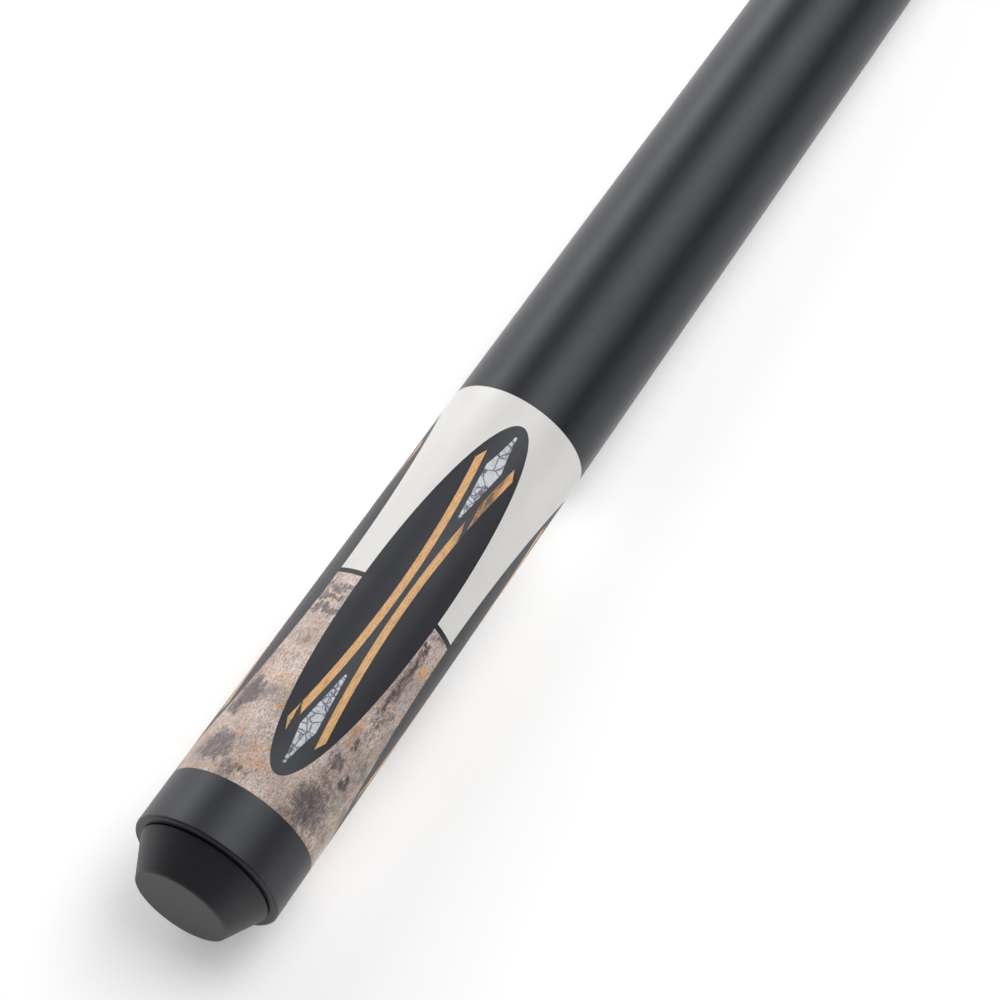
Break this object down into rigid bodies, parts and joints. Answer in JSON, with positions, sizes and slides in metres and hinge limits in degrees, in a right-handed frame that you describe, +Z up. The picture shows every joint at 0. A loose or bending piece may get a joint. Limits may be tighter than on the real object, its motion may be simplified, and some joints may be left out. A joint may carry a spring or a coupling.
{
  "type": "pool cue",
  "caption": "Two-piece pool cue with an inlaid butt sleeve, black handle, screw-off bumper, threaded joint and a tapered shaft with a crowned leather tip.",
  "frame": {"origin": "centre of the bumper's flat end face", "axes": "+X along the cue from the bumper to the tip, +Z up with the cue lying on a table"},
  "size_m": [1.4732, 0.0318, 0.0318],
  "materials": {
    "bumper_rubber": "matte moulded black rubber",
    "black_phenolic": "satin black linen phenolic",
    "white_resin": "warm white cast resin, clear coated",
    "burl_wood": "grey-brown stained burl, clear coated",
    "black_wood": "charcoal black stained maple under a satin coat",
    "orange_wood": "orange tan figured hardwood",
    "veined_stone": "pale veined reconstituted stone",
    "maple": "pale maple, sealed",
    "brass": "turned brass",
    "pin_steel": "machined stainless steel",
    "bolt_steel": "blackened steel",
    "nylon": "blue nylon",
    "ferrule_white": "ivory white fibre ferrule",
    "fibre": "black vulcanised fibre",
    "tip_leather": "layered brown leather"
  },
  "bodies": {
    "butt": {"butt_cap": "black_phenolic", "butt_insert": "brass", "core_dowel": "maple", "burl_sleeve": "burl_wood", "sleeve_ring": "black_phenolic", "white_sleeve": "white_resin", "oval_inlay_1": "black_phenolic", "oval_inlay_2": "black_phenolic", "oval_inlay_3": "black_phenolic", "oval_inlay_4": "black_phenolic", "accent_strip_1": "orange_wood", "accent_strip_2": "orange_wood", "accent_strip_3": "orange_wood", "accent_strip_4": "orange_wood", "accent_strip_5": "orange_wood", "accent_strip_6": "orange_wood", "accent_strip_7": "orange_wood", "accent_strip_8": "orange_wood", "stone_diamond_1": "veined_stone", "stone_diamond_2": "veined_stone", "stone_diamond_3": "veined_stone", "stone_diamond_4": "veined_stone", "stone_diamond_5": "veined_stone", "stone_diamond_6": "veined_stone", "stone_diamond_7": "veined_stone", "stone_diamond_8": "veined_stone", "handle": "black_wood", "handle_ring_white": "white_resin", "handle_ring_black": "black_phenolic", "forearm": "burl_wood", "joint_ring_black": "black_phenolic", "joint_ring_white": "white_resin", "joint_collar": "black_phenolic", "joint_pin": "pin_steel"},
    "bumper_stud": {"bumper_stud": "brass"},
    "bumper": {"bumper": "bumper_rubber"},
    "bolt_lock_ring": {"bolt_lock_ring": "nylon"},
    "weight_bolt": {"weight_bolt": "bolt_steel"},
    "shaft_insert": {"shaft_insert": "brass"},
    "shaft": {"shaft_collar": "black_phenolic", "shaft_ring_white": "white_resin", "shaft_ring_black": "black_phenolic", "shaft": "maple", "ferrule": "ferrule_white", "tip_pad": "fibre", "leather_tip": "tip_leather"}
  },
  "joints": [
    {"name": "bumper_travel", "type": "slide", "parent": "butt", "child": "bumper_stud", "axis": [-1, 0, 0], "range_m": [0, 0.0135]},
    {"name": "bumper_turn", "type": "hinge", "parent": "bumper_stud", "child": "bumper", "pos_m": [0, 0, 0], "axis": [-1, 0, 0], "range_deg": [0, 3240]},
    {"name": "weight_bolt_travel", "type": "slide", "parent": "butt", "child": "bolt_lock_ring", "axis": [1, 0, 0], "range_m": [-0.0075, 0.015]},
    {"name": "weight_bolt_turn", "type": "hinge", "parent": "bolt_lock_ring", "child": "weight_bolt", "pos_m": [0.03, 0, 0], "axis": [1, 0, 0], "range_deg": [-1800, 3600]},
    {"name": "shaft_travel", "type": "slide", "parent": "butt", "child": "shaft_insert", "axis": [1, 0, 0], "range_m": [0, 0.03429]},
    {"name": "shaft_turn", "type": "hinge", "parent": "shaft_insert", "child": "shaft", "pos_m": [0.73664, 0, 0], "axis": [1, 0, 0], "range_deg": [0, 4860]}
  ],
  "couplings": [
    {"joint": "bumper_turn", "follows": "bumper_travel", "rad_per_m": 4188.8},
    {"joint": "weight_bolt_turn", "follows": "weight_bolt_travel", "rad_per_m": 4188.8},
    {"joint": "shaft_turn", "follows": "shaft_travel", "rad_per_m": 2473.7}
  ]
}
